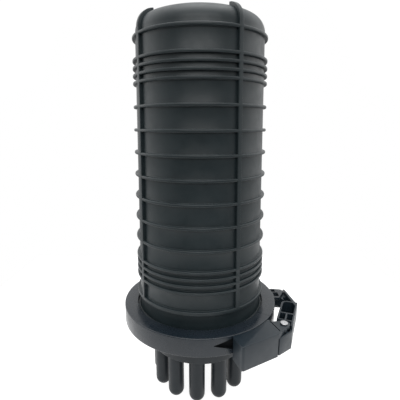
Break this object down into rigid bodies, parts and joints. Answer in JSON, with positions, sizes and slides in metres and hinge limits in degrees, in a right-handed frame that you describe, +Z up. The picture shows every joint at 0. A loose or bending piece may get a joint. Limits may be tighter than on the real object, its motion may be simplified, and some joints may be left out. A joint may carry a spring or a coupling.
{
  "type": "dome splice closure",
  "caption": "Ribbed plastic dome on a base with closed cable ports, clamped by a hinged hoop with an over-centre latch, over a stack of fibre splice trays",
  "frame": {"origin": "centre of the circle of cable ports, on the underside of the base", "axes": "+Z up along the dome's axis towards the crown, -Y towards the front, +X towards the latch"},
  "size_m": [0.24, 0.2259, 0.4936],
  "materials": {
    "moulding_dark": "matte",
    "moulding_hoop": "satin",
    "seal_rubber": "matte",
    "pin_steel": "brushed",
    "bracket_steel": "brushed",
    "tray_white": "satin",
    "cover_clear": "clear",
    "holder_blue": "matte",
    "strap_black": "woven"
  },
  "bodies": {
    "closure": {"dome": "moulding_dark", "base": "moulding_dark", "flange_seal": "seal_rubber", "hoop_front": "moulding_hoop", "hoop_hinge_pin": "pin_steel", "lever_pin": "pin_steel", "tray_bracket": "bracket_steel", "bracket_screws": "pin_steel", "tray_holder": "tray_white", "holder_screws": "pin_steel", "splice_tray_1": "tray_white", "splice_tray_2": "tray_white", "splice_tray_3": "tray_white", "splice_tray_4": "tray_white", "tray_hinge_pins": "pin_steel", "tray_cover": "cover_clear", "splice_holders": "holder_blue", "tray_strap": "strap_black", "tube_basket": "tray_white", "basket_screws": "pin_steel", "cable_clamps": "bracket_steel", "clamp_screws": "pin_steel"},
    "hoop_rear_body": {"hoop_rear": "moulding_hoop", "link_pin": "pin_steel"},
    "link_body": {"latch_link": "moulding_hoop"},
    "lever_body": {"latch_lever": "moulding_hoop", "latch_bar": "pin_steel"}
  },
  "joints": [
    {"name": "lever_swing", "type": "hinge", "parent": "closure", "child": "lever_body", "pos_m": [0.1038, -0.07001, 0.0482], "axis": [0, 0, 1], "range_deg": [0, 120]},
    {"name": "hoop_open", "type": "hinge", "parent": "closure", "child": "hoop_rear_body", "pos_m": [-0.07835, 0.07835, 0.0482], "axis": [0, 0, 1], "range_deg": [0, 18]},
    {"name": "link_swing", "type": "hinge", "parent": "hoop_rear_body", "child": "link_body", "pos_m": [0.11685, 0.01642, 0.0482], "axis": [0, 0, 1], "range_deg": [0, 60]}
  ],
  "couplings": [
    {"joint": "link_swing", "follows": "lever_swing", "ratio": 0.5},
    {"joint": "hoop_open", "follows": "lever_swing", "ratio": 0.15}
  ]
}
